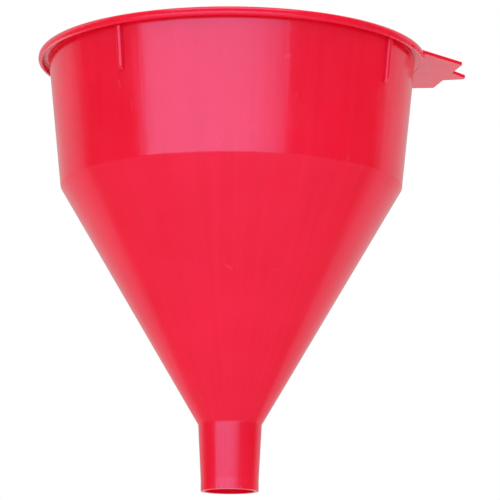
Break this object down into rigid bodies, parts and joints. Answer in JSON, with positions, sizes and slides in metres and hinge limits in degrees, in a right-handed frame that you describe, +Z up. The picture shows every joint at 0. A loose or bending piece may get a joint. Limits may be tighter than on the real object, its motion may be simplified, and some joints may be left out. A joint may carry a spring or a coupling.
{
  "type": "filling funnel with lift-out strainer",
  "caption": "Hand funnel with a deep straight-sided bowl, steep cone, short spout, turned-over rim, hanging tab and a lift-out gauze strainer.",
  "frame": {"origin": "on the funnel's axis, in the plane of the spout's mouth", "axes": "+Z up the axis from the spout to the bowl, +X towards the hanging tab"},
  "size_m": [0.199, 0.1762, 0.1983],
  "materials": {
    "red_plastic": "glossy moulded polyethylene, red all through",
    "black_plastic": "satin moulded polypropylene",
    "brass_gauze": "plain-woven wire cloth"
  },
  "bodies": {
    "funnel": {"funnel_body": "red_plastic"},
    "strainer": {"strainer_frame": "black_plastic", "strainer_gauze": "brass_gauze", "strainer_clamp_ring": "black_plastic", "strainer_pull_knob": "black_plastic"}
  },
  "joints": [
    {"name": "strainer_lift", "type": "slide", "parent": "funnel", "child": "strainer", "axis": [0, 0, 1], "range_m": [0, 0.13]}
  ]
}
